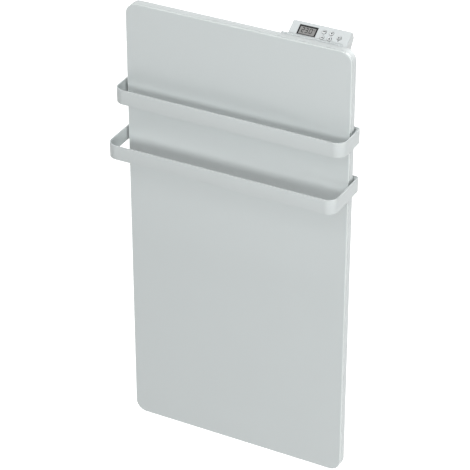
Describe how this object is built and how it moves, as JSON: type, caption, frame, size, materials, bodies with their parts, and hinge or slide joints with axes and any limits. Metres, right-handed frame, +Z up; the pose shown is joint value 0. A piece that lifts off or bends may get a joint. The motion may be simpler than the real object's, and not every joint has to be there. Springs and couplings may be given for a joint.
{
  "type": "glass towel warmer",
  "caption": "Wall-hung electric glass panel heater with two flat towel rails in front of the glass and a sloping control box with display and buttons behind its top corner.",
  "frame": {"origin": "centre of the four wall slots, on the wall plane", "axes": "+Z up, +Y into the wall, so the glass faces -Y; +X to the right seen from the room"},
  "size_m": [0.516, 0.1474, 1.0158],
  "materials": {
    "panel_glass": "satin, printed on the back",
    "seal_rubber": "matt",
    "casing_paint": "satin powder coat",
    "foil": "bright",
    "wire_silicone": "matt",
    "mat_fibre": "matt needled fibre",
    "cutout_steel": "plain",
    "sensor_black": "matt",
    "block_ceramic": "glazed",
    "loom_black": "matt",
    "zinc_steel": "zinc plated",
    "rail_paint": "satin powder coat",
    "control_plastic": "fine satin",
    "fascia_plastic": "fine satin",
    "window_gloss": "clear with a black printed border",
    "display_grey": "grey reflective display",
    "lens_smoke": "smoked",
    "button_plastic": "gloss",
    "board_green": "solder resist",
    "relay_blue": "satin",
    "transformer_yellow": "taped",
    "terminal_green": "satin",
    "ribbon_grey": "satin",
    "gland_plastic": "satin"
  },
  "bodies": {
    "heater": {"front_glass": "panel_glass", "edge_seal": "seal_rubber", "rear_casing": "casing_paint", "heating_foil": "foil", "heating_wire": "wire_silicone", "insulation_mat": "mat_fibre", "thermal_cutouts": "cutout_steel", "glass_sensor": "sensor_black", "junction_block": "block_ceramic", "lead_loom": "loom_black", "cable_grommet": "seal_rubber", "earth_stud": "zinc_steel", "channel_left": "zinc_steel", "channel_right": "zinc_steel", "rail_upper": "rail_paint", "rail_lower": "rail_paint", "rail_screws": "zinc_steel", "rail_nuts": "zinc_steel", "hanging_studs": "zinc_steel", "stud_nuts": "zinc_steel", "wall_bracket_upper": "zinc_steel", "wall_bracket_lower": "zinc_steel", "latch_pivots": "zinc_steel", "control_plate": "casing_paint", "control_housing": "control_plastic", "control_fascia": "fascia_plastic", "display_window": "window_gloss", "display_cell": "display_grey", "display_carrier": "control_plastic", "indicator_lens": "lens_smoke", "display_board": "board_green", "button_switches": "sensor_black", "display_chip": "sensor_black", "display_board_screws": "zinc_steel", "power_board": "board_green", "power_board_screws": "zinc_steel", "relay": "relay_blue", "transformer": "transformer_yellow", "terminal_block": "terminal_green", "fuse": "block_ceramic", "board_lead": "ribbon_grey", "housing_screws": "zinc_steel", "gland_body": "gland_plastic", "gland_nut": "gland_plastic", "gland_seal": "seal_rubber", "gland_locknut": "gland_plastic"},
    "button_mode": {"button_mode": "button_plastic"},
    "button_clock": {"button_clock": "button_plastic"},
    "button_minus": {"button_minus": "button_plastic"},
    "button_plus": {"button_plus": "button_plastic"},
    "button_power": {"button_power": "button_plastic"},
    "latch_left": {"latch_left": "zinc_steel"},
    "latch_right": {"latch_right": "zinc_steel"}
  },
  "joints": [
    {"name": "button_mode_press", "type": "slide", "parent": "heater", "child": "button_mode", "axis": [0, 0.5446, -0.8387], "range_m": [0, 0.0008], "stiffness_N_per_m": 1500},
    {"name": "button_clock_press", "type": "slide", "parent": "heater", "child": "button_clock", "axis": [0, 0.5446, -0.8387], "range_m": [0, 0.0008], "stiffness_N_per_m": 1500},
    {"name": "button_minus_press", "type": "slide", "parent": "heater", "child": "button_minus", "axis": [0, 0.5446, -0.8387], "range_m": [0, 0.0008], "stiffness_N_per_m": 1500},
    {"name": "button_plus_press", "type": "slide", "parent": "heater", "child": "button_plus", "axis": [0, 0.5446, -0.8387], "range_m": [0, 0.0008], "stiffness_N_per_m": 1500},
    {"name": "button_power_press", "type": "slide", "parent": "heater", "child": "button_power", "axis": [0, 0.5446, -0.8387], "range_m": [0, 0.0008], "stiffness_N_per_m": 1500},
    {"name": "latch_left_turn", "type": "hinge", "parent": "heater", "child": "latch_left", "pos_m": [-0.146, -0.025, -0.4272], "axis": [0, 1, 0], "range_deg": [0, 50]},
    {"name": "latch_right_turn", "type": "hinge", "parent": "heater", "child": "latch_right", "pos_m": [0.146, -0.025, -0.4272], "axis": [0, -1, 0], "range_deg": [0, 50]}
  ]
}
